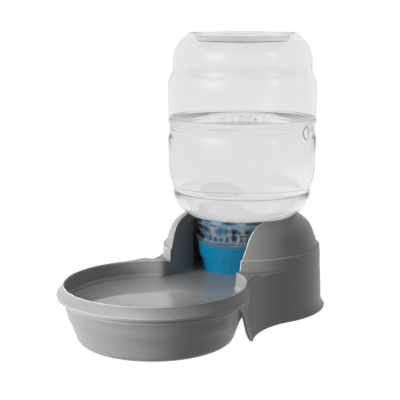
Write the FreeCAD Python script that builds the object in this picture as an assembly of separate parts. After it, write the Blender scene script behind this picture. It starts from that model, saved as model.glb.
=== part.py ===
import FreeCAD, Part
import math
import os

# Gravity waterer for pets: an open drinking bowl and a winged housing in one moulding,
# with an upturned bottle that stands in the housing and feeds the bowl through a filter cap.
# Millimetres. +Z is up, the bowl faces -Y, and X = 0 is the plane of symmetry.
# The origin is on the floor, in the middle of the footprint.

V = FreeCAD.Vector

# Bowl
LIP_R = 99.5            # outermost edge of the lip
LIP_Z = 50.7            # where the sloping lip starts
LIP_BAND = 2.6          # upright band at the edge of the lip
LIP_EDGE = 0.7          # small chamfer under the band
RIM_EDGE_Z = 58.2       # where the slope turns up into the crest
RIM_EDGE_IN = 6.1       # how far in from the lip that is
CREST_Z = 60.2          # top of the rim
CREST_IN = 6.9          # outer edge of the flat on the rim, in from the lip
CREST_WIDTH = 1.4       # flat on top of the rim
RIM_CHAMFER = 0.8       # inner edge of the rim
WALL = 3.0              # moulded wall of the base
HEEL_IN = 18.9          # wall just above the rounded heel, in from the lip
HEEL_Z = 8.0
HEEL_ROUND = 8.6        # how far the heel's round reaches in to the flat foot
LOW_STEP_IN = 12.5      # wall below the lower step, in from the lip
LOW_STEP_Z = 25.5
HIGH_STEP_IN = 7.9      # wall below the upper step, in from the lip
HIGH_STEP_Z = 42.0
STEP_RISE = 1.6         # height over which a step blends
STEP_OUT = 1.3          # how far a step stands out
UNDER_BOWL = 1.0        # the pads hold the bowl this far off the floor

# Housing
AXIS_REACH = 66.8       # from the lip's circle to the bottle's axis
FOOT_OUT = 5.8          # how far the foot flares out from the skirt
SKIRT_R = 89.2          # skirt at its top
SKIRT_DRAFT = 1.8       # how much wider the skirt is just above the flare
LEDGE_Z = 69.8          # small ledge round the housing
LEDGE_IN = 0.7          # ledge, in from the skirt's top
LEDGE_NOSE = 1.4
DOME_IN = 3.0           # dome at the ledge, in from the skirt's top
DOME_SIDE_IN = 7.9      # where the dome's side ends, in from the skirt's top
DOME_SIDE_Z = 84.0
DOME_TURN_IN = 14.8     # a point halfway over the dome, in from the skirt's top
DOME_TURN_Z = 95.7
SEAT_Z = 104.3          # rim that carries the bottle
SEAT_R = 59.0           # outer edge of the flat seat
SLOT_HALF = 45.0        # half the gap between the two wings
SLOT_DRAFT = ((57.0, 0.0), (68.0, 0.5), (80.0, 2.0), (104.3, 3.3))  # height, widening
WELL_R = 55.0           # well round the bottle's neck
WELL_FLOOR = 11.0       # top of the well's floor
CORNER_R = 13.0         # round where the bowl's wall turns into the slot
NOTCH_R = 85.0          # fillet in plan between bowl and housing
RIM_INSIDE = 0.6        # the rim's plate ends this far inside the wall
SPUR_NOTCH_R = 87.0     # the same fillet on the floor
SPUR_OUT = 5.5          # how far the spur's foot flares out from the wall under the lip
FADE_START = 4.0        # bearing from the bowl's centre where the lip starts to fade
FADE_END = 29.0         # bearing where it has run into the skirt
FADE_BULGE = 2.2        # how far its edge bows out on the way
SPUR_EDGE = ((4.0, 49.0), (10.5, 44.6), (15.5, 41.0), (21.0, 36.5), (26.0, 30.3),
             (31.5, 22.3), (37.5, 14.0), (42.0, 7.0), (46.5, 0.0))  # from the bowl's centre, height
DIP_START = 70.0        # where the crest starts to dip towards the wings, from the bowl's centre
DIP_END = 90.0
DIP_DEPTH = 4.4
RIB_COUNT = 5
RIB_THICK = 2.2
RIB_BOTTOM = 62.0

# Rubber pads under the bowl
PAD_R = 9.0
PAD_PITCH_R = 52.0
PAD_DEPTH = 1.2         # how deep a pad sits in its recess
PAD_GAP = 0.2
PAD_COUNT = 4

# Bottle, upside down
BOTTLE_WALL = 1.2
BOTTLE_SEAT_GAP = 0.3
BODY_R = 82.5
BOTTLE_TOP = 306.0
SHOULDER_TOP = 137.0    # crease above the shoulder
SHOULDER_IN = 5.3       # crease, in from the body
SHOULDER_TURN_IN = 12.6  # a point halfway round the shoulder, in from the body
SHOULDER_TURN_Z = 113.0
SHOULDER_END_Z = 128.0  # where the shoulder's round ends
BODY_START_Z = 167.0    # where the body is at its full width
GRIP_Z = 200.0          # groove round the middle
GRIP_HALF = 8.5
GRIP_DEPTH = 2.0
WAIST_Z = 268.0         # narrower band below the bottle's base
WAIST_IN = 5.1          # waist, in from the body
BASE_TURN_IN = 9.7      # a point halfway round the edge of its base, in from the body
BASE_RING_IN = 25.0     # ring that the bottle stands on when it is filled
PUSH_UP_IN = 33.0
PUSH_UP = 9.0           # how far its base is pushed in
THUMB_R = 8.0           # thumb dimple on the right of the groove
THUMB_DEPTH = 2.6
NECK_R = 46.2
MOUTH_Z = 74.5
MOUTH_LIP = 3.4         # how far the sealing face reaches past the neck
BEAD_OUT = 5.4          # bead round the mouth, out from the neck
BEAD_HEIGHT = 9.5
TRACK_OUT = 3.4         # outside of the raised bayonet tracks, out from the neck
TRACK_RISE = 17.0       # middle of a track above the mouth
TRACK_HALF = 5.4
TRACK_COUNT = 3
TRACK_START = -68.0     # bearing of one entry channel, degrees
CHANNEL_HALF = 6.4      # half an entry channel, degrees

# Filter cap, which plugs the neck from below
CAP_TURN = 104.0        # turn from the locked stop back to the entry channels
CAP_TALL = 34.4         # from the sealing face down to the lower edge
CAP_BAND = 15.2         # height of the cap's upper band
CAP_TOP_OUT = 4.0       # the cap's upper band, out from the neck
CAP_STEP_OUT = 2.2      # how far the upper band stands out over the lower one
CAP_BAND_DRAFT = 1.6
CAP_TAPER = 2.8         # how much narrower the lower edge is than the step
CAP_WALL = 2.4
GASKET = 1.4
SEAL_GAP = 0.2
PLUG_GAP = 0.7          # between the plug and the inside of the neck
PLUG_WALL = 2.4
PLUG_TALL = 23.5        # from the mouth to the top of the plug
CAP_FLOOR_DROP = 14.5   # from the mouth down to the cap's floor
CAP_FLOOR = 2.5
DRAIN_COUNT = 8
DRAIN_R = 4.6
DRAIN_PITCH_R = 26.0
LUG_HALF_ANGLE = 4.2    # half a lug, degrees
LUG_HALF_Z = 3.0
LUG_GAP = 0.5           # between a lug and the inside of its track
LUG_EDGE = 1.0
BAR_COUNT = 36          # upright bars round the plug
BAR_SLOT = 4.4
BAR_END = 2.5           # solid ring above and below the bars
NOTCH_COUNT = 6         # short blind notches under the cap's step
NOTCH_START = -83.0
NOTCH_WIDE = 1.4
NOTCH_TALL = 6.5
NOTCH_DEEP = 1.0

# Cage over the filter, snapped into the top of the plug
CAGE_GAP = 0.3
CAGE_TALL = 6.4         # above the plug
CAGE_WALL = 2.2
CAGE_RING = 2.6
CAGE_SKIRT = 5.0
CAGE_EDGE = 2.4
CAGE_BARS = 18
CAGE_SLOT = 4.0
CAGE_SLOT_LONG = 16.0

# Carbon filter, a round cartridge
FILTER_TALL = 27.5
FILTER_EDGE = 3.0
FILTER_GAP = 2.0

# Worked out from the sizes above
AXIS_GAP = LIP_R + AXIS_REACH
FOOT_R = SKIRT_R + FOOT_OUT
LENGTH = LIP_R + AXIS_GAP + FOOT_R
BOWL_Y = LIP_R - LENGTH / 2
AXIS_Y = BOWL_Y + AXIS_GAP
SKIRT_TOP = LIP_Z - LIP_BAND
BOWL_HEEL_R = LIP_R - HEEL_IN
BOWL_FOOT_R = BOWL_HEEL_R - HEEL_ROUND
LOW_STEP_R = LIP_R - LOW_STEP_IN
HIGH_STEP_R = LIP_R - HIGH_STEP_IN
RIM_IN_R = LIP_R - CREST_IN - CREST_WIDTH
LEDGE_R = SKIRT_R - LEDGE_IN
DOME_R = SKIRT_R - DOME_IN
BOTTLE_SEAT_Z = SEAT_Z + BOTTLE_SEAT_GAP
SHOULDER_R = BODY_R - SHOULDER_IN
WAIST_R = BODY_R - WAIST_IN
BASE_RING_R = BODY_R - BASE_RING_IN
NECK_BORE = NECK_R - BOTTLE_WALL
BEAD_R = NECK_R + BEAD_OUT
TRACK_R = NECK_R + TRACK_OUT
TRACK_Z = MOUTH_Z + TRACK_RISE
PLUG_R = NECK_BORE - PLUG_GAP
PLUG_BORE = PLUG_R - PLUG_WALL
PLUG_TOP = MOUTH_Z + PLUG_TALL
CAP_FACE_Z = MOUTH_Z - SEAL_GAP - GASKET
CAP_FLOOR_Z = MOUTH_Z - CAP_FLOOR_DROP
CAP_TOP_R = NECK_R + CAP_TOP_OUT
CAP_STEP_Z = CAP_FACE_Z - CAP_BAND
CAP_STEP_R = CAP_TOP_R - CAP_BAND_DRAFT - CAP_STEP_OUT
CAP_BOTTOM = CAP_FACE_Z - CAP_TALL
CAP_BOTTOM_R = CAP_STEP_R - CAP_TAPER
BAR_BOTTOM = MOUTH_Z + BAR_END
BAR_TOP = PLUG_TOP - BAR_END
CAGE_TOP = PLUG_TOP + CAGE_TALL
FILTER_R = PLUG_BORE - FILTER_GAP
FILTER_LOW = CAP_FLOOR_Z + CAP_FLOOR
FILTER_TOP = FILTER_LOW + FILTER_TALL
TRACK_BORE = TRACK_R - BOTTLE_WALL
LUG_R = TRACK_BORE - LUG_GAP
LOCKED_AT = TRACK_START + CAP_TURN


def polar(radius, degrees, z, cx=0.0, cy=0.0):
    """A point at a bearing from +X round an upright axis."""
    a = math.radians(degrees)
    return V(cx + radius * math.cos(a), cy + radius * math.sin(a), z)


def path(start, *steps):
    """A wire in the XZ plane. A step is (x, z) for a line or (mid, end) for an arc."""
    edges = []
    here = start
    for step in steps:
        if isinstance(step[0], tuple):
            mid, end = step
            arc = Part.Arc(V(here[0], 0, here[1]), V(mid[0], 0, mid[1]), V(end[0], 0, end[1]))
            edges.append(arc.toShape())
        else:
            end = step
            edges.append(Part.makeLine(V(here[0], 0, here[1]), V(end[0], 0, end[1])))
        here = end
    return Part.Wire(edges)


def turned(wire, cy, degrees=360.0, start=0.0):
    """Turn a closed wire of radius and height round the upright axis at y = cy."""
    solid = Part.Face(wire).revolve(V(0, 0, 0), V(0, 0, 1), degrees)
    solid.rotate(V(0, 0, 0), V(0, 0, 1), start)
    solid.translate(V(0, cy, 0))
    return solid


def cylinder(radius, low, high, cy, cx=0.0):
    return Part.makeCylinder(radius, high - low, V(cx, cy, low))


def copies(solid, count, cy, sweep=360.0):
    """The same solid, repeated evenly round the upright axis at y = cy."""
    made = []
    for i in range(count):
        one = solid.copy()
        one.rotate(V(0, cy, 0), V(0, 0, 1), i * sweep / count)
        made.append(one)
    return made


def notch_points(bowl_r, house_r, fillet_r):
    """Centre and tangent points of the right-hand fillet between the two circles in plan."""
    a = bowl_r + fillet_r
    b = house_r + fillet_r
    along = (a * a - b * b + AXIS_GAP * AXIS_GAP) / (2 * AXIS_GAP)
    side = math.sqrt(a * a - along * along)
    at_bowl = (side * bowl_r / a, BOWL_Y + along * bowl_r / a)
    at_house = (side * house_r / b, AXIS_Y + (along - AXIS_GAP) * house_r / b)
    return (side, BOWL_Y + along), at_bowl, at_house


def arc_about(centre, radius, start, end, z):
    """The shorter arc from start to end round a centre."""
    mid = V((start[0] + end[0]) / 2 - centre[0], (start[1] + end[1]) / 2 - centre[1], 0)
    mid.normalize()
    top = V(centre[0], centre[1], z) + mid * radius
    return Part.Arc(V(start[0], start[1], z), top, V(end[0], end[1], z)).toShape()


def mirrored(point):
    return (-point[0], point[1])


def plan_outline(bowl_in, fillet_r, inset, z):
    """Bowl circle and housing circle joined by a fillet on each side, drawn in by inset."""
    bowl_r = LIP_R - bowl_in - inset
    house_r = SKIRT_R - inset
    round_r = fillet_r + inset
    centre, at_bowl, at_house = notch_points(bowl_r, house_r, round_r)
    left_bowl = mirrored(at_bowl)
    left_house = mirrored(at_house)
    edges = [
        Part.Arc(V(*left_bowl, z), V(0, BOWL_Y - bowl_r, z), V(*at_bowl, z)).toShape(),
        arc_about(centre, round_r, at_bowl, at_house, z),
        Part.Arc(V(*at_house, z), V(0, AXIS_Y + house_r, z), V(*left_house, z)).toShape(),
        arc_about(mirrored(centre), round_r, left_house, left_bowl, z),
    ]
    return Part.Wire(edges)


def stacked(levels):
    """Outlines joined straight from level to level."""
    outlines = [plan_outline(*level) for level in levels]
    return Part.makeLoft(outlines, True, True)


def dip(lower):
    """Space above the crest where it sinks towards the wings."""
    top = CREST_Z - lower
    start = BOWL_Y + DIP_START
    end = BOWL_Y + DIP_END
    wide = 4 * LIP_R
    run = DIP_END - DIP_START
    mid = V(-wide / 2, (start + end) / 2, top - DIP_DEPTH * 0.26)
    a = V(-wide / 2, start, top)
    b = V(-wide / 2, start + run, top - DIP_DEPTH)
    corners = [b, V(-wide / 2, AXIS_Y, top - DIP_DEPTH), V(-wide / 2, AXIS_Y, SEAT_Z),
               V(-wide / 2, start, SEAT_Z), a]
    edges = [Part.Arc(a, mid, b).toShape()]
    edges += [Part.makeLine(corners[i], corners[i + 1]) for i in range(4)]
    return Part.Face(Part.Wire(edges)).extrude(V(wide, 0, 0))


def fade_block(inset, low, high):
    """Upright block within which the lip keeps its full width in front and fades at the sides."""
    edge_r = LIP_R + 0.3 - inset
    wall_r = LIP_R - RIM_EDGE_IN - inset - 0.6
    start = polar(edge_r, FADE_START, low, 0, BOWL_Y)
    end = polar(wall_r, FADE_END, low, 0, BOWL_Y)
    half_r = (edge_r + wall_r) / 2 + FADE_BULGE
    mid = polar(half_r, (FADE_START + FADE_END) / 2, low, 0, BOWL_Y)
    front = V(0, BOWL_Y - edge_r, low)
    left = [V(-p.x, p.y, low) for p in (start, mid, end)]
    back = V(0, end.y, low)
    edges = [Part.Arc(left[0], front, start).toShape(), Part.Arc(start, mid, end).toShape(),
             Part.makeLine(end, back), Part.makeLine(back, left[2]), Part.Arc(left[2], left[1], left[0]).toShape()]
    return Part.Face(Part.Wire(edges)).extrude(V(0, 0, high - low))


def rim_shape():
    """The lip, its slope and the crest, as one hollow cap over the whole plan."""
    low = LIP_Z - LIP_BAND
    thin = WALL - 0.2
    under = CREST_Z - WALL
    edge_r = LIP_R - RIM_EDGE_IN
    lip = turned(path((0, low), (LIP_R - LIP_EDGE, low), (LIP_R, low + LIP_EDGE), (LIP_R, LIP_Z),
                      (edge_r, RIM_EDGE_Z), (LIP_R - CREST_IN, CREST_Z), (0, CREST_Z), (0, low)), BOWL_Y)
    lip = lip.common(fade_block(0, low - 1, CREST_Z + 1))
    lip_space = turned(path((0, low - 1), (LIP_R - thin, low - 1), (LIP_R - thin, LIP_Z), (edge_r - thin, under),
                            (0, under), (0, low - 1)), BOWL_Y)
    lip_space = lip_space.common(fade_block(thin, low - 2, CREST_Z))
    plate = stacked([(RIM_EDGE_IN, NOTCH_R, RIM_INSIDE, low), (RIM_EDGE_IN, NOTCH_R, RIM_INSIDE, CREST_Z)])
    plate_space = stacked([(RIM_EDGE_IN, NOTCH_R, thin, low - 1), (RIM_EDGE_IN, NOTCH_R, thin, under)])
    inside = cylinder(DOME_R - WALL, low - 1, CREST_Z + 1, AXIS_Y)
    space = lip_space.fuse(plate_space).cut(dip(WALL))
    return lip.fuse(plate).cut(space).cut(inside)


def bowl_outside():
    """The bowl's outer form, filled."""
    return turned(path((0, UNDER_BOWL), (BOWL_FOOT_R, UNDER_BOWL),
                       ((BOWL_HEEL_R - 2.4, UNDER_BOWL + 2.6), (BOWL_HEEL_R, HEEL_Z)),
                       (LOW_STEP_R, LOW_STEP_Z), (LOW_STEP_R + STEP_OUT, LOW_STEP_Z + STEP_RISE),
                       (HIGH_STEP_R, HIGH_STEP_Z), (HIGH_STEP_R + STEP_OUT, HIGH_STEP_Z + STEP_RISE),
                       (RIM_IN_R + WALL - 0.9, CREST_Z - WALL), (0, CREST_Z - WALL), (0, UNDER_BOWL)), BOWL_Y)


def bowl_wall():
    """Radius and height of the bowl's inner wall, from the heel's round up to the crest."""
    floor = UNDER_BOWL + WALL + 0.5
    return [
        (BOWL_HEEL_R - WALL - 1.0, floor + 8), (LOW_STEP_R - WALL, LOW_STEP_Z),
        (HIGH_STEP_R - WALL, HIGH_STEP_Z + STEP_RISE),
        (HIGH_STEP_R - WALL + STEP_OUT, HIGH_STEP_Z + 2 * STEP_RISE),
        (RIM_IN_R, CREST_Z - RIM_CHAMFER),
    ]


def bowl_inside():
    """The space inside the bowl, up past its rim."""
    floor = UNDER_BOWL + WALL + 0.5
    high = (RIM_IN_R + RIM_CHAMFER, CREST_Z)
    return turned(path((0, floor), (BOWL_FOOT_R - 6, floor), (BOWL_HEEL_R - 9.4, floor + 0.9),
                       (BOWL_HEEL_R - 5.8, floor + 3.6), *bowl_wall(), high,
                       (high[0], CREST_Z + 1), (0, CREST_Z + 1), (0, floor)), BOWL_Y)


def corner_section(wall_r, z, side):
    """Section of the space outside the round between the bowl's wall and the slot's wall."""
    centre_x = SLOT_HALF + CORNER_R
    centre_y = math.sqrt((wall_r + CORNER_R) ** 2 - centre_x ** 2)
    share = wall_r / (wall_r + CORNER_R)
    on_bowl = (centre_x * share, centre_y * share)
    inner = (on_bowl[0] * 0.985, on_bowl[1] * 0.985)
    sharp_y = math.sqrt(wall_r ** 2 - SLOT_HALF ** 2)
    out = V(SLOT_HALF - centre_x, sharp_y - centre_y, 0)
    out.normalize()
    points = [(SLOT_HALF, centre_y), (centre_x + out.x * CORNER_R, centre_y + out.y * CORNER_R), on_bowl,
              inner, (SLOT_HALF - 1.0, sharp_y - 1.6), (SLOT_HALF - 1.0, centre_y)]
    p = [V(side * x, BOWL_Y + y, z) for x, y in points]
    return Part.Wire([Part.Arc(p[0], p[1], p[2]).toShape(), Part.makeLine(p[2], p[3]),
                      Part.makeLine(p[3], p[4]), Part.makeLine(p[4], p[5]), Part.makeLine(p[5], p[0])])


def slot_corner(side):
    """What is cut away so that the bowl's wall turns into the slot with a round."""
    levels = [(WELL_FLOOR, bowl_wall()[0][0])] + [(z, r) for r, z in bowl_wall()[1:]]
    levels.append((CREST_Z + 1, RIM_IN_R))
    return Part.makeLoft([corner_section(r, z, side) for z, r in levels], True, True)


def skirt_section(z, bowl_r, house_r, fillet_r):
    """Horizontal section of the skirt: under the lip, fillet, round back, fillet, under the lip."""
    centre, at_bowl, at_house = notch_points(bowl_r, house_r, fillet_r)
    _, in_bowl, in_house = notch_points(bowl_r - WALL, house_r - WALL, fillet_r + WALL)
    left = mirrored(centre)
    bowl = (0, BOWL_Y)
    front = (bowl_r, BOWL_Y)
    in_front = (bowl_r - WALL, BOWL_Y)
    back = V(0, AXIS_Y + house_r, z)
    in_back = V(0, AXIS_Y + house_r - WALL, z)
    edges = [
        arc_about(bowl, bowl_r, front, at_bowl, z),
        arc_about(centre, fillet_r, at_bowl, at_house, z),
        Part.Arc(V(*at_house, z), back, V(*mirrored(at_house), z)).toShape(),
        arc_about(left, fillet_r, mirrored(at_house), mirrored(at_bowl), z),
        arc_about(bowl, bowl_r, mirrored(at_bowl), mirrored(front), z),
        Part.makeLine(V(*mirrored(front), z), V(*mirrored(in_front), z)),
        arc_about(bowl, bowl_r - WALL, mirrored(in_front), mirrored(in_bowl), z),
        arc_about(left, fillet_r + WALL, mirrored(in_bowl), mirrored(in_house), z),
        Part.Arc(V(*mirrored(in_house), z), in_back, V(*in_house, z)).toShape(),
        arc_about(centre, fillet_r + WALL, in_house, in_bowl, z),
        arc_about(bowl, bowl_r - WALL, in_bowl, in_front, z),
        Part.makeLine(V(*in_front, z), V(*front, z)),
    ]
    return Part.Wire(edges)


def skirt():
    """The skirt is almost upright, flares at its foot and runs out to a spur under each side of the lip."""
    wide = SKIRT_R + SKIRT_DRAFT
    wall = LIP_R - RIM_EDGE_IN
    flare = FOOT_R - wide
    spread = SPUR_NOTCH_R - NOTCH_R
    levels = [
        (0.0, wall + SPUR_OUT, FOOT_R, SPUR_NOTCH_R),
        (1.8, wall + SPUR_OUT * 0.8, wide + flare * 0.58, NOTCH_R + spread * 0.7),
        (4.0, wall + SPUR_OUT * 0.58, wide + flare * 0.26, NOTCH_R + spread * 0.5),
        (7.0, wall + SPUR_OUT * 0.38, wide + flare * 0.07, NOTCH_R + spread * 0.3),
        (12.0, wall + SPUR_OUT * 0.2, wide - SKIRT_DRAFT * 0.08, NOTCH_R + spread * 0.1),
        (20.0, wall + SPUR_OUT * 0.09, wide - SKIRT_DRAFT * 0.25, NOTCH_R),
        (32.0, wall + SPUR_OUT * 0.03, wide - SKIRT_DRAFT * 0.5, NOTCH_R),
        (SKIRT_TOP, wall, SKIRT_R, NOTCH_R),
        (RIM_EDGE_Z, wall, SKIRT_R, NOTCH_R),
    ]
    body = Part.makeLoft([skirt_section(*level) for level in levels], True, True)
    start = -4 * LIP_R
    corners = [V(start / 2, BOWL_Y + y, z) for y, z in SPUR_EDGE]
    corners += [V(start / 2, BOWL_Y + SPUR_EDGE[-1][0], -1), V(start / 2, BOWL_Y - 2, -1),
                V(start / 2, BOWL_Y - 2, SPUR_EDGE[0][1])]
    front = Part.Face(Part.makePolygon(corners + corners[:1])).extrude(V(-start, 0, 0))
    return body.cut(front)


def dome_profile(inset):
    """Outer face of the housing above the skirt, or its inner face if drawn in by inset."""
    return [
        (LEDGE_R - inset, LEDGE_Z - LEDGE_NOSE * 0.6 - inset),
        (LEDGE_R - LEDGE_NOSE * 0.6 - inset, LEDGE_Z - inset),
        (DOME_R - inset, LEDGE_Z - inset),
        (SKIRT_R - DOME_SIDE_IN - inset, DOME_SIDE_Z - inset * 0.3),
        ((SKIRT_R - DOME_TURN_IN - inset * 0.75, DOME_TURN_Z - inset * 0.65),
         (SEAT_R - inset * 0.3, SEAT_Z - inset)),
    ]


def housing_top():
    """The upper skirt, ledge and dome, as a shell that carries the bottle on its rim."""
    outer = turned(path((0, SKIRT_TOP), (SKIRT_R, SKIRT_TOP), (SKIRT_R, RIM_EDGE_Z), *dome_profile(0.0),
                        (0, SEAT_Z), (0, SKIRT_TOP)), AXIS_Y)
    inner = turned(path((0, SKIRT_TOP), (SKIRT_R - WALL, SKIRT_TOP), *dome_profile(WALL),
                        (0, SEAT_Z - WALL), (0, SKIRT_TOP)), AXIS_Y)
    return outer, outer.cut(inner)


def keyhole(grow, low, high):
    """The well round the neck with its straight mouth towards the bowl."""
    half = SLOT_HALF + grow
    start = BOWL_Y + SLOT_HALF
    side = [(half, low)]
    side += [(half + out, z) for z, out in SLOT_DRAFT if low < z < high]
    side.append((half + SLOT_DRAFT[-1][1] if high > SLOT_DRAFT[-1][0] - 1 else half, high))
    corners = [V(x, start, z) for x, z in side] + [V(-x, start, z) for x, z in reversed(side)]
    mouth = Part.Face(Part.makePolygon(corners + corners[:1])).extrude(V(0, AXIS_Y - start, 0))
    return cylinder(WELL_R + grow, low, high, AXIS_Y).fuse(mouth)


def ribs(inside):
    """Upright ribs that stiffen the dome behind the well."""
    reach = SKIRT_R - WELL_R
    plate = Part.makeBox(reach, RIB_THICK, SEAT_Z - RIB_BOTTOM, V(WELL_R + 1, -RIB_THICK / 2, RIB_BOTTOM))
    made = []
    for i in range(RIB_COUNT):
        one = plate.copy()
        one.rotate(V(0, 0, 0), V(0, 0, 1), 180.0 * (i + 0.5) / RIB_COUNT)
        one.translate(V(0, AXIS_Y, 0))
        made.append(one.common(inside))
    return made


def pad_places():
    return [polar(PAD_PITCH_R, 45 + i * 360.0 / PAD_COUNT, 0, 0, BOWL_Y) for i in range(PAD_COUNT)]


def base():
    """Bowl, well, wings, dome and skirt, moulded in one."""
    solid_top, shell_top = housing_top()
    floor = WELL_FLOOR - WALL
    well_low = keyhole(WALL, floor, CREST_Z - WALL)
    well_high = keyhole(WALL, SKIRT_TOP, SEAT_Z).common(solid_top)
    lower = rim_shape().fuse([bowl_outside(), well_low, skirt()]).cut(dip(0))
    body = lower.fuse([shell_top, well_high] + ribs(solid_top))
    body = body.cut(bowl_inside())
    body = body.cut([keyhole(0.0, WELL_FLOOR, SEAT_Z + 10), slot_corner(1), slot_corner(-1)])
    for place in pad_places():
        recess = Part.makeCylinder(PAD_R + PAD_GAP, PAD_DEPTH + 1, V(place.x, place.y, UNDER_BOWL - 1))
        body = body.cut(recess)
    return body.removeSplitter()


def pads():
    made = []
    for place in pad_places():
        made.append(Part.makeCylinder(PAD_R, UNDER_BOWL + PAD_DEPTH, V(place.x, place.y, 0)))
    return made


def bottle_path(wall):
    """Half section of the bottle's outer face, or of its inner face for a wall above nothing."""
    w = wall
    body = BODY_R - w
    grip_low = GRIP_Z - GRIP_HALF
    grip_high = GRIP_Z + GRIP_HALF
    seat = BOTTLE_SEAT_Z + w
    top = BOTTLE_TOP - w
    base_turn = (BODY_R - BASE_TURN_IN - w * 0.75, BOTTLE_TOP - 14.0 - w * 0.6)
    return [
        (NECK_R - w, seat - 2.0),
        (NECK_R - w + 2.0, seat),
        (SEAT_R + 1.0 - w * 0.3, seat),
        ((BODY_R - SHOULDER_TURN_IN - w * 0.7, SHOULDER_TURN_Z + w * 0.7),
         (SHOULDER_R - 0.4 - w, SHOULDER_END_Z)),
        (SHOULDER_R - w, SHOULDER_TOP),
        ((SHOULDER_R + 3.0 - w, SHOULDER_TOP + 9.5), (BODY_R - 0.4 - w, BODY_START_Z)),
        (body, grip_low),
        ((body - GRIP_DEPTH, GRIP_Z), (body, grip_high)),
        (body, WAIST_Z - 22.0),
        ((body - 0.9, WAIST_Z - 14.5), (body - 2.9, WAIST_Z - 8.5)),
        ((WAIST_R + 0.5 - w, WAIST_Z - 4.3), (WAIST_R - w, WAIST_Z)),
        (WAIST_R - w, WAIST_Z + 7.0),
        (base_turn, (BASE_RING_R + 3.5, top - 1.6)),
        (BASE_RING_R + 1.2, top),
        (BASE_RING_R - 1.2, top),
        (BASE_RING_R - 3.5, top - 1.6),
        (BODY_R - PUSH_UP_IN, top - PUSH_UP + w * 0.4),
        (0, top - PUSH_UP - 3.0),
    ]


def bottle():
    """Blow-moulded shell with a bead, three raised bayonet tracks and their entry channels."""
    mouth_in = MOUTH_Z - 1.0
    outer = turned(path((0, MOUTH_Z), (NECK_R, MOUTH_Z), *bottle_path(0.0), (0, MOUTH_Z)), AXIS_Y)
    bore = turned(path((0, mouth_in), (NECK_BORE, mouth_in), *bottle_path(BOTTLE_WALL), (0, mouth_in)), AXIS_Y)
    for shrink, make in ((0.0, "skin"), (BOTTLE_WALL, "space")):
        bead_r = BEAD_R - shrink
        low = MOUTH_Z + shrink
        lane_low = MOUTH_Z if make == "skin" else mouth_in
        bead_top = MOUTH_Z + BEAD_HEIGHT - shrink
        half = BEAD_HEIGHT / 2
        root = NECK_BORE - 1.0
        bead = turned(path((root, low), (NECK_R + MOUTH_LIP - shrink, low), (bead_r, low + 1.6),
                           (bead_r, MOUTH_Z + half), (NECK_R - shrink, bead_top),
                           (root, bead_top), (root, low)), AXIS_Y)
        edge = TRACK_R - shrink
        tall = TRACK_HALF - shrink
        track = path((root, TRACK_Z - tall - 1.0), (NECK_R - shrink, TRACK_Z - tall - 1.0),
                     (edge, TRACK_Z - tall + 1.7), (edge, TRACK_Z + tall - 1.7),
                     (NECK_R - shrink, TRACK_Z + tall + 1.0),
                     (root, TRACK_Z + tall + 1.0), (root, TRACK_Z - tall - 1.0))
        side = math.degrees(shrink / TRACK_R)
        channel_half = CHANNEL_HALF - side
        ends = LUG_HALF_ANGLE + 2.0 - side + 1.5
        sweep = CAP_TURN + channel_half + ends
        run = turned(track, AXIS_Y, sweep, TRACK_START - channel_half)
        lane = turned(path((root, lane_low), (edge - 0.2, lane_low), (edge - 0.2, TRACK_Z), (root, TRACK_Z),
                           (root, lane_low)), AXIS_Y, 2 * channel_half, TRACK_START - channel_half)
        tracks = copies(run, TRACK_COUNT, AXIS_Y) + copies(lane, TRACK_COUNT, AXIS_Y)
        if make == "skin":
            outer = outer.fuse([bead] + tracks)
        else:
            bore = bore.fuse([bead] + tracks)
    deep = BODY_R - GRIP_DEPTH + THUMB_R - THUMB_DEPTH
    dent = Part.makeSphere(THUMB_R, V(deep, AXIS_Y, GRIP_Z))
    lining = Part.makeSphere(THUMB_R + BOTTLE_WALL, V(deep, AXIS_Y, GRIP_Z))
    return outer.cut(dent).cut(bore.cut(lining))


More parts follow.
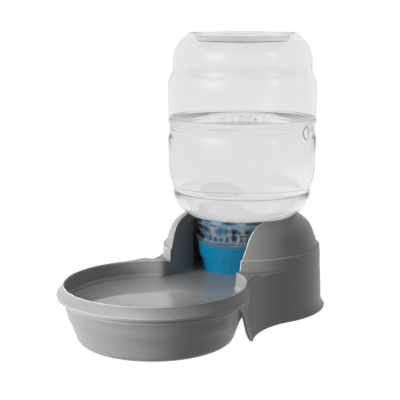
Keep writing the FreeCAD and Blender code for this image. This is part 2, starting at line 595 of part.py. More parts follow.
def filter_cap():
    """Stepped blue cap: a skirt below the neck, a barred plug inside it and three lugs."""
    step_in = CAP_STEP_R - CAP_WALL
    floor_top = CAP_FLOOR_Z + CAP_FLOOR
    body = turned(path((CAP_BOTTOM_R - CAP_WALL, CAP_BOTTOM), (CAP_BOTTOM_R, CAP_BOTTOM),
                       (CAP_STEP_R, CAP_STEP_Z), (CAP_STEP_R + CAP_STEP_OUT, CAP_STEP_Z),
                       (CAP_TOP_R, CAP_FACE_Z - 1.0), (CAP_TOP_R - 1.0, CAP_FACE_Z), (PLUG_R, CAP_FACE_Z),
                       (PLUG_R, PLUG_TOP), (PLUG_BORE, PLUG_TOP), (PLUG_BORE, floor_top), (0, floor_top),
                       (0, CAP_FLOOR_Z), (step_in, CAP_FLOOR_Z), (CAP_BOTTOM_R - CAP_WALL, CAP_BOTTOM)), AXIS_Y)
    drain = cylinder(DRAIN_R, CAP_FLOOR_Z - 1, floor_top + 1, AXIS_Y, DRAIN_PITCH_R)
    body = body.cut(copies(drain, DRAIN_COUNT, AXIS_Y) + [cylinder(DRAIN_R, CAP_FLOOR_Z - 1, floor_top + 1, AXIS_Y)])
    slot = Part.makeBox(2 * PLUG_WALL + 2, BAR_SLOT, BAR_TOP - BAR_BOTTOM,
                        V(PLUG_BORE - PLUG_WALL, AXIS_Y - BAR_SLOT / 2, BAR_BOTTOM))
    slot.rotate(V(0, AXIS_Y, 0), V(0, 0, 1), LOCKED_AT + 180.0 / BAR_COUNT)
    body = body.cut(copies(slot, BAR_COUNT, AXIS_Y))
    notch = Part.makeBox(NOTCH_DEEP + 3, NOTCH_WIDE, NOTCH_TALL,
                         V(CAP_STEP_R - NOTCH_DEEP - 0.5, AXIS_Y - NOTCH_WIDE / 2, CAP_STEP_Z - NOTCH_TALL))
    notch.rotate(V(0, AXIS_Y, 0), V(0, 0, 1), NOTCH_START)
    body = body.cut(copies(notch, NOTCH_COUNT, AXIS_Y))
    lug_low = TRACK_Z - LUG_HALF_Z
    lug_high = TRACK_Z + LUG_HALF_Z
    inner = PLUG_BORE + 0.4
    e = LUG_EDGE
    lug = turned(path((inner, lug_low), (LUG_R - e, lug_low), (LUG_R, lug_low + e), (LUG_R, lug_high - e),
                      (LUG_R - e, lug_high), (inner, lug_high), (inner, lug_low)),
                 AXIS_Y, 2 * LUG_HALF_ANGLE, LOCKED_AT - LUG_HALF_ANGLE)
    return body.fuse(copies(lug, TRACK_COUNT, AXIS_Y)).removeSplitter()


def cap_gasket():
    """Flat rubber ring between the cap's face and the mouth."""
    return cylinder(CAP_TOP_R - 1.2, CAP_FACE_Z, CAP_FACE_Z + GASKET, AXIS_Y).cut(
        cylinder(PLUG_R + 0.2, CAP_FACE_Z - 1, CAP_FACE_Z + GASKET + 1, AXIS_Y))


def filter_cage():
    """Slotted cover over the filter, standing on the plug's top ring."""
    skirt_r = PLUG_BORE - CAGE_GAP
    low = PLUG_TOP
    body = turned(path((skirt_r - CAGE_WALL, low - CAGE_SKIRT), (skirt_r, low - CAGE_SKIRT), (skirt_r, low),
                       (PLUG_R, low), (PLUG_R, low + CAGE_RING - 0.6), (skirt_r, low + CAGE_RING),
                       (skirt_r, CAGE_TOP - CAGE_EDGE), (skirt_r - CAGE_EDGE, CAGE_TOP),
                       (0, CAGE_TOP), (0, CAGE_TOP - CAGE_WALL), (skirt_r - CAGE_WALL, CAGE_TOP - CAGE_WALL),
                       (skirt_r - CAGE_WALL, low - CAGE_SKIRT)), AXIS_Y)
    slot = Part.makeBox(CAGE_SLOT_LONG + 6.0, CAGE_SLOT, CAGE_TOP,
                        V(skirt_r - CAGE_SLOT_LONG, AXIS_Y - CAGE_SLOT / 2, low + CAGE_RING))
    slot.rotate(V(0, AXIS_Y, 0), V(0, 0, 1), LOCKED_AT + 180.0 / CAGE_BARS)
    return body.cut(copies(slot, CAGE_BARS, AXIS_Y))


def charcoal_filter():
    """Round carbon cartridge that lies on the cap's floor."""
    low = FILTER_LOW
    e = FILTER_EDGE
    return turned(path((0, low), (FILTER_R - e, low), (FILTER_R, low + e),
                       (FILTER_R, FILTER_TOP - e), (FILTER_R - e, FILTER_TOP),
                       (0, FILTER_TOP), (0, low)), AXIS_Y)


def save(name, shape):
    solids = shape.Solids
    box = shape.BoundBox
    print(name, "solids", len(solids), "valid", shape.isValid(), "volume %.1f" % shape.Volume,
          "x %.1f %.1f y %.1f %.1f z %.1f %.1f" % (box.XMin, box.XMax, box.YMin, box.YMax, box.ZMin, box.ZMax))
    if len(solids) == 1:
        shape = solids[0]
    shape.exportStep("parts/" + name + ".step")


os.makedirs("parts", exist_ok=True)
save("base", base())
for number, pad in enumerate(pads(), 1):
    save("foot_pad_%d" % number, pad)
save("bottle", bottle())
save("filter_cap", filter_cap())
save("cap_gasket", cap_gasket())
save("filter_cage", filter_cage())
save("charcoal_filter", charcoal_filter())
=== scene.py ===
# %% [markdown]
# A gravity waterer for pets. A clear bottle stands upside down in a grey housing, and water
# runs through a blue filter cap into an open bowl until the cap's edge is under water. The
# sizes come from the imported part, so the first step is to load it. Everything is in metres,
# with +Z up, the bowl towards -Y and X = 0 the plane of symmetry.

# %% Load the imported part
import math

import bpy
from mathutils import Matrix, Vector


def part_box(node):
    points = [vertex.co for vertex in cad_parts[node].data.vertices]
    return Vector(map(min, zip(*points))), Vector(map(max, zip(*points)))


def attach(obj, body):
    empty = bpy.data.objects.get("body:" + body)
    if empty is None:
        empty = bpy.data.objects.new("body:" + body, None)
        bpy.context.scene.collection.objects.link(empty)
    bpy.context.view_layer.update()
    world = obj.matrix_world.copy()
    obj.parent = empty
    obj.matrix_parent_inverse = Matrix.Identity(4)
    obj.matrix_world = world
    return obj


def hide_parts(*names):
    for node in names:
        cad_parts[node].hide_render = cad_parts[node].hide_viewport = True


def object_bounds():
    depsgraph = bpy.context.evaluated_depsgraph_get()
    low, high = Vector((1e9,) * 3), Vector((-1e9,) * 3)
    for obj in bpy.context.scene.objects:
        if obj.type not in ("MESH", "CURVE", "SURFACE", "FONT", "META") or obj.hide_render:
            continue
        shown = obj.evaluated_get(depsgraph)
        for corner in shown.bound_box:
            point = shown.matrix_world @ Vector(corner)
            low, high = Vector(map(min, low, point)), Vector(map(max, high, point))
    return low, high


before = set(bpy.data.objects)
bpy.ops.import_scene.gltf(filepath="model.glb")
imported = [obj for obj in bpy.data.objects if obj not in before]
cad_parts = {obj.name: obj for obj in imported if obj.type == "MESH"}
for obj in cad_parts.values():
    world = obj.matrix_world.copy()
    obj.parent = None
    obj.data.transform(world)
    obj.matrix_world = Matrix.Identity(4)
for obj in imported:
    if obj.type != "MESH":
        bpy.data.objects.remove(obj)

cad_low, cad_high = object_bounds()
print("the part is", [round((b - a) * 1000, 1) for a, b in zip(cad_low, cad_high)], "mm")

# %% [markdown]
# Most places can be read from the part. The bottle's axis is in the middle of the cap, and the
# bowl's centre is half its own width from the front. Read like this, they follow the part when
# it changes. One millimetre is written as MM.

# %% Places that the other cells use
MM = 0.001
cap_low, cap_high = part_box("filter_cap")
AXIS_Y = (cap_low.y + cap_high.y) / 2
BOWL_Y = cad_low.y + (cad_high.x - cad_low.x) / 2
print("bowl centre at y =", round(BOWL_Y, 4), "and bottle axis at y =", round(AXIS_Y, 4))

# %% [markdown]
# Four helpers for materials. The first turns an sRGB colour, as a paint chart gives it, into the
# linear values that the renderer works in. The second adds one node with its settings and its
# links. The last two start a material with no nodes, and end it with its output.


# %% Helpers for colours and materials
def linear(hex_colour):
    values = [int(hex_colour[i:i + 2], 16) / 255 for i in (0, 2, 4)]
    return [v / 12.92 if v <= 0.04045 else ((v + 0.055) / 1.055) ** 2.4 for v in values] + [1.0]


def add(owner, kind, links=(), **settings):
    """One node for a material, a lamp or the room. Settings name its properties or its sockets,
    and links are (socket, other node, output)."""
    made = owner.node_tree.nodes.new(kind)
    for name, value in settings.items():
        if hasattr(made, name):
            setattr(made, name, value)
        else:
            made.inputs[name.replace("_", " ")].default_value = value
    for name, other, output in links:
        owner.node_tree.links.new(other.outputs[output], made.inputs[name])
    return made


def start_material(name):
    made = bpy.data.materials.new(name)
    made.use_nodes = True
    made.node_tree.nodes.clear()
    return made


def finish_material(material, shader, output="BSDF"):
    add(material, "ShaderNodeOutputMaterial", [("Surface", shader, output)])
    print("material", material.name, "has", len(material.node_tree.nodes), "nodes")
    return material


# %% [markdown]
# The housing and the cap are moulded polypropylene. Such moulds are usually spark-eroded, which
# leaves a very fine, soft grain, so the plastic has a broad dull sheen and no sharp reflections.
# A slow change in tone stands for the flow of the filler. Every edge of a real moulding has a
# small round, which catches a thin line of light. The rounds could be cut in the mesh, but a
# Bevel node draws them in the shading with no more faces, and where it turns the normal the
# colour is lifted towards a pale one: a painted highlight. An Ambient Occlusion node finds the
# inner corners, and there the colour is darkened towards black: painted shade.

# %% Moulded polypropylene
FLOW_MM = 60.0
FLAT, TURNED = 0.995, 0.92      # cosine between true and rounded normal: 6 and 23 degrees
A_SIDE, B_SIDE, MIXED = 6, 7, 2     # a colour Mix node's sockets, which share their names


def moulded_polypropylene(name, tone, darker, highlight_tone, rough, grain_mm, round_mm,
                          corner_mm, painted_corner_shade):
    made = start_material(name)
    place = add(made, "ShaderNodeTexCoord")
    flow = add(made, "ShaderNodeTexNoise", [("Vector", place, "Object")],
               Scale=1 / (FLOW_MM * MM), Detail=3.0)
    mix = add(made, "ShaderNodeValToRGB", [("Fac", flow, "Fac")])
    for stop, position, colour in zip(mix.color_ramp.elements, (0.35, 0.65), (darker, tone)):
        stop.position = position
        stop.color = linear(colour)
    edge = add(made, "ShaderNodeBevel", samples=6, Radius=round_mm * MM)
    surface = add(made, "ShaderNodeNewGeometry")
    turned = add(made, "ShaderNodeVectorMath", [(0, edge, "Normal"), (1, surface, "Normal")],
                 operation="DOT_PRODUCT")
    rounded = add(made, "ShaderNodeMapRange", [("Value", turned, "Value")],
                  From_Min=FLAT, From_Max=TURNED, To_Min=0.0, To_Max=1.0)
    corner = add(made, "ShaderNodeAmbientOcclusion", samples=6, only_local=True,
                 Distance=corner_mm * MM)
    outer = add(made, "ShaderNodeMapRange", [("Value", corner, "AO")],
                From_Min=0.80, From_Max=0.95)
    # Painted highlight: where the Bevel node turns the normal on an open edge, the colour is
    # lifted towards the pale tone.
    painted_highlight = add(made, "ShaderNodeMath", [(0, rounded, "Result"), (1, outer, "Result")],
                 operation="MULTIPLY")
    highlighted = add(made, "ShaderNodeMix", [(0, painted_highlight, "Value"), (A_SIDE, mix, "Color")],
                 data_type="RGBA")
    highlighted.inputs[B_SIDE].default_value = linear(highlight_tone)
    # Painted shade: inner corners found by ambient occlusion are mixed towards black.
    shade_in_corners = add(made, "ShaderNodeMapRange", [("Value", corner, "AO")],
                From_Min=0.35, From_Max=0.85, To_Min=painted_corner_shade, To_Max=0.0)
    colour = add(made, "ShaderNodeMix", [(0, shade_in_corners, "Result"), (A_SIDE, highlighted, MIXED)],
                 data_type="RGBA")
    colour.inputs[B_SIDE].default_value = linear("000000")
    grain = add(made, "ShaderNodeTexNoise", [("Vector", place, "Object")],
                Scale=1 / (grain_mm * MM), Detail=1.0)
    bump = add(made, "ShaderNodeBump", [("Height", grain, "Fac"), ("Normal", edge, "Normal")],
               Strength=0.12, Distance=0.06 * MM)
    shader = add(made, "ShaderNodeBsdfPrincipled",
                 [("Base Color", colour, MIXED), ("Normal", bump, "Normal")],
                 Roughness=rough, IOR=1.49)
    return finish_material(made, shader)


# Both materials paint a highlight on their edges and shade in their inner corners.
base_plastic = moulded_polypropylene(
    "moulded_grey_polypropylene", "969694", "929290", "f0f0ec", rough=0.38,
    grain_mm=0.8, round_mm=1.3, corner_mm=3.0, painted_corner_shade=0.6)
blue_plastic = moulded_polypropylene(
    "moulded_blue_polypropylene", "046c94", "03688e", "2a90b8", rough=0.26,
    grain_mm=0.9, round_mm=0.4, corner_mm=4.0, painted_corner_shade=0.95)

# %% [markdown]
# The pads and the seal are soft rubber, which is dull and slightly uneven. The filter is felt
# round carbon grains, so it is dark and fibrous. All three differ only in tone and grain, so one
# function with a noise bump makes them.


# %% Rubber and felt
def soft_surface(name, tone, grain_mm, depth_mm, rough):
    made = start_material(name)
    place = add(made, "ShaderNodeTexCoord")
    grain = add(made, "ShaderNodeTexNoise", [("Vector", place, "Object")],
                Scale=1 / (grain_mm * MM), Detail=4.0)
    bump = add(made, "ShaderNodeBump", [("Height", grain, "Fac")],
               Strength=0.6, Distance=depth_mm * MM)
    shader = add(made, "ShaderNodeBsdfPrincipled", [("Normal", bump, "Normal")],
                 Base_Color=linear(tone), Roughness=rough)
    return finish_material(made, shader)


pad_rubber = soft_surface("moulded_black_rubber", "1c1c1c", 1.2, 0.05, 0.75)
seal_rubber = soft_surface("grey_silicone_rubber", "505254", 1.5, 0.03, 0.45)
filter_felt = soft_surface("carbon_filter_felt", "20211f", 1.0, 0.4, 0.95)

# %% [markdown]
# The bottle is blown polyester, PET. It is clear with a high gloss, and the blowing leaves slow
# waves in the wall. Its neck is thicker, and light that is caught in it comes out at the edges of
# its rings. That light is painted: at those edges the material lets less light through and shows
# its pale tone, a painted highlight, and the neck has a second gloss on top. Light has to reach
# what stands behind clear plastic. Tracing it through both faces of a thin wall would be slow and
# noisy, so the shader lets shadow rays pass straight through.
#
# Clean water in the bowl would mirror the rear wall, and the picture hardly shows that. So this
# water is given a thin film, such as dust leaves on standing water. The film isn't seen as such:
# it scatters a part of the light, and the surface then reads as one plane, as in the picture.


# %% Clear materials
def clear_material(name, tone, ior, rough, wave_mm=0.0, wave_depth_mm=0.0, edge_highlight_mm=0.0,
                   **sockets):
    """Sockets are settings of the main shader. Unless they say otherwise it is all clear."""
    made = start_material(name)
    sockets.setdefault("Transmission_Weight", 1.0)
    shader = add(made, "ShaderNodeBsdfPrincipled",
                 Base_Color=linear(tone), Roughness=rough, IOR=ior, **sockets)
    join = made.node_tree.links.new
    if wave_mm:
        place = add(made, "ShaderNodeTexCoord")
        wave = add(made, "ShaderNodeTexNoise", [("Vector", place, "Object")],
                   Scale=1 / (wave_mm * MM), Detail=2.0)
        bump = add(made, "ShaderNodeBump", [("Height", wave, "Fac")],
                   Strength=0.5, Distance=wave_depth_mm * MM)
        join(bump.outputs["Normal"], shader.inputs["Normal"])
    if edge_highlight_mm:
        # Painted highlight: at the rings' edges less light goes through and the pale tone shows.
        edge = add(made, "ShaderNodeBevel", samples=6, Radius=edge_highlight_mm * MM)
        surface = add(made, "ShaderNodeNewGeometry")
        turned = add(made, "ShaderNodeVectorMath",
                     [(0, edge, "Normal"), (1, surface, "Normal")], operation="DOT_PRODUCT")
        clear = add(made, "ShaderNodeMapRange", [("Value", turned, "Value")],
                    From_Min=0.90, From_Max=0.99, To_Min=0.5, To_Max=1.0)
        join(clear.outputs["Result"], shader.inputs["Transmission Weight"])
    passing = add(made, "ShaderNodeBsdfTransparent", Color=linear(tone))
    ray = add(made, "ShaderNodeLightPath")
    both = add(made, "ShaderNodeMixShader",
               [("Fac", ray, "Is Shadow Ray"), (1, shader, "BSDF"), (2, passing, "BSDF")])
    return finish_material(made, both, "Shader")


PET_IOR, WATER_IOR = 1.5, 1.333
blown_pet = clear_material("blown_clear_polyester", "efefef", PET_IOR, 0.03,
                           wave_mm=35, wave_depth_mm=0.25)
# The neck's ring edges get a painted highlight.
neck_pet = clear_material("thick_clear_polyester", "f4f6f6", PET_IOR, 0.03, edge_highlight_mm=0.7,
                          Coat_Weight=1.0, Coat_IOR=1.7, Coat_Roughness=0.05)
still_water = clear_material("still_water", "fafafa", WATER_IOR, 0.0)
filmed_water = clear_material("water_with_thin_film", "d2d2d2", WATER_IOR, 0.0,
                              Transmission_Weight=0.6)

# %% [markdown]
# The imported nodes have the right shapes, but they are loose triangles. They could be modelled
# again, with the risk of small differences. It is surer to copy them, and to merge and smooth
# each copy, so that the moulded curves shade as one surface while real edges stay crisp. The copy
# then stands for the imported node. The bottle's faces below its shoulder get the neck's material.


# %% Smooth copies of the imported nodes
def only(piece):
    bpy.ops.object.select_all(action="DESELECT")
    piece.select_set(True)
    bpy.context.view_layer.objects.active = piece


def smooth_copy(node, name, material, body):
    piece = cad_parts[node].copy()
    piece.data = piece.data.copy()
    piece.name = piece.data.name = name
    piece.parent = None
    bpy.context.scene.collection.objects.link(piece)
    for key in list(piece.keys()):
        del piece[key]
    only(piece)
    bpy.ops.object.mode_set(mode="EDIT")
    bpy.ops.mesh.select_all(action="SELECT")
    bpy.ops.mesh.remove_doubles(threshold=0.004 * MM)
    bpy.ops.object.mode_set(mode="OBJECT")
    bpy.ops.mesh.customdata_custom_splitnormals_clear()
    bpy.ops.object.shade_smooth_by_angle(angle=math.radians(32))
    piece.data.materials.clear()
    piece.data.materials.append(material)
    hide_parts(node)
    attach(piece, body)
    print(name, "has", len(piece.data.polygons), "faces")
    return piece


base_piece = smooth_copy("base", "moulded_base", base_plastic, "stand")
smooth_copy("filter_cap", "blue_filter_cap", blue_plastic, "cap")
smooth_copy("filter_cage", "blue_filter_cage", blue_plastic, "cap")
smooth_copy("cap_gasket", "mouth_seal", seal_rubber, "cap")
smooth_copy("charcoal_filter", "carbon_filter", filter_felt, "cap")
bottle_piece = smooth_copy("bottle", "clear_bottle", blown_pet, "stand")
NECK_TOP = 103.5
bottle_piece.data.materials.append(neck_pet)
for face in bottle_piece.data.polygons:
    if face.center.z < NECK_TOP * MM:
        face.material_index = 1
for number in range(1, 5):
    smooth_copy(f"foot_pad_{number}", f"rubber_pad_{number}", pad_rubber, "stand")

# %% [markdown]
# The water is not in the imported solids, so it is modelled here. In the bottle it is a turned
# body, which a spun outline would give as well. Here one circle is extruded and scaled from
# height to height, as a potter raises a pot: each ring then has a height and a radius to read
# off. Its side lies in the middle of the bottle's wall: light that leaves the plastic is already
# in the water, and no false film of air shows between them.


# %% Raising a body ring by ring
def round_through(start, middle, end, steps):
    """Points on the circle through three (radius, height) points, without the first one."""
    (ax, ay), (bx, by), (cx, cy) = start, middle, end
    d = 2 * (ax * (by - cy) + bx * (cy - ay) + cx * (ay - by))
    a2, b2, c2 = ax * ax + ay * ay, bx * bx + by * by, cx * cx + cy * cy
    ux = (a2 * (by - cy) + b2 * (cy - ay) + c2 * (ay - by)) / d
    uy = (a2 * (cx - bx) + b2 * (ax - cx) + c2 * (bx - ax)) / d
    first = math.atan2(ay - uy, ax - ux)
    turn = math.atan2(cy - uy, cx - ux) - first
    turn = (turn + math.pi) % (2 * math.pi) - math.pi
    size = math.hypot(ax - ux, ay - uy)
    angles = [first + turn * i / steps for i in range(1, steps + 1)]
    return [(ux + size * math.cos(angle), uy + size * math.sin(angle)) for angle in angles]


def raised_body(name, rings, centre_y, around):
    """A closed body of (radius, height) rings in millimetres round the axis at centre_y."""
    bpy.ops.object.select_all(action="DESELECT")
    radius, height = rings[0]
    bpy.ops.mesh.primitive_circle_add(vertices=around, radius=radius * MM, fill_type="NGON",
                                      location=(0, centre_y, height * MM))
    piece = bpy.context.object
    piece.name = piece.data.name = name
    bpy.ops.object.transform_apply(location=True, rotation=True, scale=True)
    bpy.ops.object.mode_set(mode="EDIT")
    bpy.ops.mesh.select_all(action="SELECT")
    for next_radius, next_height in rings[1:]:
        rise = (0, 0, (next_height - height) * MM)
        bpy.ops.mesh.extrude_region_move(TRANSFORM_OT_translate={"value": rise})
        grow = next_radius / radius
        bpy.ops.transform.resize(value=(grow, grow, 1),
                                 center_override=(0, centre_y, next_height * MM))
        radius, height = next_radius, next_height
    bpy.ops.mesh.select_all(action="SELECT")
    bpy.ops.mesh.normals_make_consistent(inside=False)
    bpy.ops.object.mode_set(mode="OBJECT")
    bpy.ops.object.shade_smooth_by_angle(angle=math.radians(35))
    print(name, "has", len(rings), "rings and", len(piece.data.polygons), "faces")
    return piece


def fill_with(piece, material):
    """Every liquid piece has one clear material and rides on the stand."""
    piece.data.materials.clear()
    piece.data.materials.append(material)
    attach(piece, "stand")


# %% [markdown]
# The rings follow the bottle's own section, from the filter's plug upwards: the top of the neck,
# the flat seat, the shoulder, a narrow crease, the widening body and the grip groove. The last
# two rings climb the wall a little, because water creeps up where it wets the plastic.

# %% Water in the bottle
WATER_TOP = 213.0
BODY_R = 81.9
neck = [(45.6, 100.0), (45.6, 103.2), (47.6, 105.2), (59.9, 105.2)]
shoulder = round_through(neck[-1], (69.5, 113.4), (76.3, 128.0), 10)
crease = [(76.35, 131.2), (75.3, 131.6), (75.3, 132.4), (76.4, 132.8), (76.6, 137.0)]
widening = round_through(crease[-1], (79.6, 146.5), (81.5, 167.0), 8)
groove = [(BODY_R, 191.5)] + round_through((BODY_R, 191.5), (79.9, 200.0), (BODY_R, 208.5), 8)
creep = [(BODY_R, WATER_TOP + 0.3), (BODY_R - 0.9, WATER_TOP)]
bottle_water = raised_body("bottle_water", neck + shoulder + crease + widening + groove + creep,
                           AXIS_Y, 128)
fill_with(bottle_water, still_water)

# %% [markdown]
# The water in the bowl fills three spaces at one level: the bowl, the trough and the well round
# the cap. The bowl's part is raised ring by ring like the bottle's water. The others have upright
# sides, so their outline is filled and extruded straight up. A boolean joins them, which leaves
# no wall inside the water.


# %% Upright blocks, and joining them
def plan_block(name, points, low, high):
    """An outline of (x, y) points in millimetres, filled and extruded straight up."""
    bpy.ops.object.select_all(action="DESELECT")
    bpy.ops.mesh.primitive_circle_add(vertices=len(points), radius=1.0, fill_type="NGON")
    piece = bpy.context.object
    piece.name = piece.data.name = name
    for vertex, (x, y) in zip(piece.data.vertices, points):
        vertex.co = (x * MM, y * MM, low * MM)
    bpy.ops.object.mode_set(mode="EDIT")
    bpy.ops.mesh.select_all(action="SELECT")
    rise = (0, 0, (high - low) * MM)
    bpy.ops.mesh.extrude_region_move(TRANSFORM_OT_translate={"value": rise})
    bpy.ops.mesh.select_all(action="SELECT")
    bpy.ops.mesh.normals_make_consistent(inside=False)
    bpy.ops.object.mode_set(mode="OBJECT")
    print(name, "has", len(points), "corners")
    return piece


def join_solid(body, other):
    """Boolean union, after which the other piece is deleted."""
    only(body)
    union = body.modifiers.new("join", "BOOLEAN")
    union.operation = "UNION"
    union.solver = "EXACT"
    union.object = other
    bpy.ops.object.modifier_apply(modifier=union.name)
    bpy.data.objects.remove(other, do_unlink=True)


# %% [markdown]
# The bowl's rings stand in its wall by a hair, for the same reason as in the bottle. Where bowl
# and trough meet, the moulding has a rounded corner on each side. A small block with one round
# side fills it: its curve is a circle that touches the trough's side and the bowl's wall.

# %% Water in the bowl, the trough and the well
BOWL_WATER = 41.5
TROUGH_HALF = 45.4
TROUGH_LOW = 10.6
WELL_R = 55.5
CORNER_LOW = 11.5
CORNER_R = 12.6
CORNER_X = 58.0             # the corner circle's centre, seen from the bowl's centre
CORNER_REACH = 101.4        # how far away that centre is
CORNER_END = 88.8           # how far away the curve ends, inside the bowl's wall
bowl_y = BOWL_Y / MM
axis_y = AXIS_Y / MM
bowl_water = raised_body("bowl_water", [(65.0, 4.2), (74.0, 6.6), (78.0, 12.8), (84.6, 25.5),
                                        (89.0, BOWL_WATER)], BOWL_Y, 160)

trough_start = bowl_y + 50
trough_plan = [(-TROUGH_HALF, trough_start), (TROUGH_HALF, trough_start),
               (TROUGH_HALF, axis_y), (-TROUGH_HALF, axis_y)]
well_plan = [(WELL_R * math.cos(t * math.pi / 64), axis_y + WELL_R * math.sin(t * math.pi / 64))
             for t in range(128)]
blocks = [plan_block("trough_water", trough_plan, TROUGH_LOW, BOWL_WATER),
          plan_block("well_water", well_plan, TROUGH_LOW, BOWL_WATER)]

corner_y = math.sqrt(CORNER_REACH ** 2 - CORNER_X ** 2)
half_way = (CORNER_X - CORNER_R * math.cos(0.5), corner_y - CORNER_R * math.sin(0.5))
bend_end = (CORNER_X * CORNER_END / CORNER_REACH, corner_y * CORNER_END / CORNER_REACH)
corner_plan = [(TROUGH_HALF, corner_y)]
corner_plan += round_through((TROUGH_HALF, corner_y), half_way, bend_end, 8)
corner_plan += [(46.0, 62.0), (40.0, 62.0), (40.0, corner_y)]
for side in (-1, 1):
    one_side = [(side * x, bowl_y + y) for x, y in corner_plan]
    blocks.append(plan_block("corner_water", one_side, CORNER_LOW, BOWL_WATER))

for block in blocks:
    join_solid(bowl_water, block)
only(bowl_water)
bpy.ops.object.shade_smooth_by_angle(angle=math.radians(35))
fill_with(bowl_water, filmed_water)
print("the bowl's water stands at", BOWL_WATER, "mm and has",
      len(bowl_water.data.polygons), "faces")

# %% [markdown]
# A few air bubbles float on the bottle's water, where the last gulp of air came up. Each is a
# sphere pressed a little flat, half above the water. They never move apart, so they are joined
# into one piece.

# %% Air bubbles
# From the bottle's axis to the right, to the rear, and the radius.
BUBBLES = [(4, -8, 3.0), (12, -2, 2.2), (-6, 6, 1.8), (18, -20, 2.6), (2, -24, 1.6),
           (26, 4, 1.7), (-14, -14, 1.4), (34, -30, 2.1), (9, 14, 1.5), (-2, -40, 1.8),
           (40, -10, 1.3)]
BUBBLE_HEIGHT = WATER_TOP + 0.4
made_bubbles = []
for x, y, size in BUBBLES:
    bpy.ops.object.select_all(action="DESELECT")
    bpy.ops.mesh.primitive_uv_sphere_add(
        segments=20, ring_count=12, radius=size * MM, scale=(1, 1, 0.8),
        location=(x * MM, AXIS_Y + y * MM, BUBBLE_HEIGHT * MM))
    made_bubbles.append(bpy.context.object)
    bpy.ops.object.transform_apply(location=True, rotation=True, scale=True)
bpy.ops.object.select_all(action="DESELECT")
for bubble in made_bubbles:
    bubble.select_set(True)
bpy.context.view_layer.objects.active = made_bubbles[0]
bpy.ops.object.join()
bubbles = bpy.context.object
bubbles.name = bubbles.data.name = "air_bubbles"
bpy.ops.object.shade_smooth_by_angle(angle=math.radians(60))
fill_with(bubbles, still_water)
print("there are", len(BUBBLES), "bubbles")

# %% [markdown]
# The picture was taken from the bowl's right, a little above it. A wide lens close by would make
# the bowl's front swell. A long lens from about a metre away keeps the bottle's sides almost
# parallel, as the eye knows them. Place and angles come from fitting the part's outlines to the
# picture.

# %% Camera
CAMERA_PLACE = (0.59995, -0.90233, 0.33106)
CAMERA_DOWN = 10.432
CAMERA_TURN = 33.610
camera = bpy.data.objects.new("camera", bpy.data.cameras.new("camera"))
bpy.context.scene.collection.objects.link(camera)
camera.location = CAMERA_PLACE
camera.rotation_euler = (math.radians(90 - CAMERA_DOWN), 0, math.radians(CAMERA_TURN))
camera.data.lens = 93.40
camera.data.sensor_width = 36.0
camera.data.clip_end = 20
bpy.context.scene.camera = camera
print("the camera looks down by", CAMERA_DOWN, "degrees from azimuth", CAMERA_TURN)

# %% [markdown]
# A white studio. The room and the floor are white to the eye and in reflections. A real one would
# also fill every shadow on the plastic, and a photographer holds black cards beside the object
# against that. Here the room and the floor send the plastic only a little light, so the side away
# from the large window stays dark.

# %% Floor and room
WHITE = 1.02


def white_glow(owner, kind, on_plastic):
    """White to the eye, and of strength on_plastic for light that falls on dull surfaces."""
    rays = add(owner, "ShaderNodeLightPath")
    strength = add(owner, "ShaderNodeMapRange", [("Value", rays, "Is Diffuse Ray")],
                   To_Min=WHITE, To_Max=on_plastic)
    print(owner.name, "gives", on_plastic, "to dull surfaces")
    return add(owner, kind, [("Strength", strength, "Result")], Color=(1, 1, 1, 1))


bpy.ops.object.select_all(action="DESELECT")
bpy.ops.mesh.primitive_plane_add(size=8, location=(0, 0, -0.2 * MM))
floor = bpy.context.object
floor.name = "studio_floor"
floor_paint = start_material("white_studio_floor")
finish_material(floor_paint, white_glow(floor_paint, "ShaderNodeEmission", 0.10), "Emission")
floor.data.materials.append(floor_paint)

world = bpy.data.worlds.new("white_room")
bpy.context.scene.world = world
world.use_nodes = True
world.node_tree.nodes.clear()
room = white_glow(world, "ShaderNodeBackground", 0.15)
add(world, "ShaderNodeOutputWorld", [("Surface", room, "Background")])

# %% [markdown]
# One large soft window stands low at the left, a little in front. A window that lights the
# plastic well is far too bright as a mirror image on the bottle, so it lights dull surfaces
# only, and two dimmer windows are seen only in gloss. A photo studio gets the same with a sheet
# of tracing paper between lamp and bottle. A last one hangs overhead and is linked to the grey
# moulding alone: it draws the light line along the rim's crest.


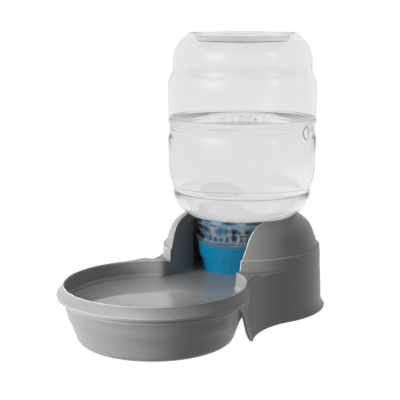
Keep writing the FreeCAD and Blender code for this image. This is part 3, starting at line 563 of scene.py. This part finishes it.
# %% Soft windows
def soft_window(name, place, aim, width, height, watts, gloss_only):
    """An area light that is brightest in its middle and fades to its edges, like a diffuser."""
    lamp = bpy.data.lights.new(name, "AREA")
    made = bpy.data.objects.new(name, lamp)
    bpy.context.scene.collection.objects.link(made)
    made.location = place
    made.rotation_euler = (Vector(aim) - Vector(place)).to_track_quat("-Z", "Y").to_euler()
    made.visible_diffuse = not gloss_only
    made.visible_glossy = made.visible_transmission = gloss_only
    lamp.shape = "RECTANGLE"
    lamp.size = width
    lamp.size_y = height
    lamp.energy = watts
    lamp.use_nodes = True
    lamp.node_tree.nodes.clear()
    across = add(lamp, "ShaderNodeNewGeometry")
    centre = add(lamp, "ShaderNodeMapping", [("Vector", across, "Parametric")],
                 Location=(-1, -1, 0), Scale=(2, 2, 0))
    fade = add(lamp, "ShaderNodeTexGradient", [("Vector", centre, "Vector")],
               gradient_type="QUADRATIC_SPHERE")
    level = add(lamp, "ShaderNodeMath", [(0, fade, "Fac")], operation="MULTIPLY")
    level.inputs[1].default_value = 5.0     # makes up for what the fading takes away
    glow = add(lamp, "ShaderNodeEmission", [("Strength", level, "Value")])
    add(lamp, "ShaderNodeOutputLight", [("Surface", glow, "Emission")])
    print(name, "gives", watts, "W")
    return made


soft_window("left_window", (-0.76, -1.49, 0.44), (0, -0.05, 0.06), 1.1, 0.8, 60,
            gloss_only=False)
soft_window("left_window_in_gloss", (-0.45, -1.55, 0.85), (0, -0.02, 0.15), 2.4, 2.0, 5,
            gloss_only=True)
soft_window("right_window_in_gloss", (1.5, -0.10, 0.95), (0, 0.05, 0.2), 0.8, 1.0, 0.8,
            gloss_only=True)
crest_window = soft_window("crest_window_in_gloss", (-0.35, -0.35, 1.5), (0, -0.06, 0.06),
                           1.2, 0.7, 90, gloss_only=True)
moulding = bpy.data.collections.new("grey_moulding")
moulding.objects.link(base_piece)
crest_window.light_linking.receiver_collection = moulding

# %% [markdown]
# The low window hardly reaches the bottom of the bowl. A narrow lamp shines straight down into
# it, as a photographer lights the inside of a cup. Its cone fades out towards the rim, so that
# the rim keeps the window's light.

# %% Lamp over the bowl
LAMP_HEIGHT = 1.2
POOL_R, POOL_HEIGHT = 0.070, 0.02       # the lit round on the bowl's floor
bowl_lamp = bpy.data.objects.new("bowl_lamp", bpy.data.lights.new("bowl_lamp", "SPOT"))
bpy.context.scene.collection.objects.link(bowl_lamp)
bowl_lamp.location = (-0.028, BOWL_Y + 0.008, LAMP_HEIGHT)
bowl_lamp.data.energy = 24
bowl_lamp.data.spot_size = 2 * math.atan(POOL_R / (LAMP_HEIGHT - POOL_HEIGHT))
bowl_lamp.data.spot_blend = 0.5
bowl_lamp.data.shadow_soft_size = 0.02
bowl_lamp.visible_glossy = False
print("the lamp's cone is", round(math.degrees(bowl_lamp.data.spot_size), 1), "degrees")

# %% [markdown]
# A product photograph shows colours as they are, with a clean white behind the object. A film
# look would turn that white grey, so the plain Standard view is used.

# %% View
bpy.context.scene.view_settings.view_transform = "Standard"
bpy.context.scene.view_settings.look = "None"
print("view transform:", bpy.context.scene.view_settings.view_transform)
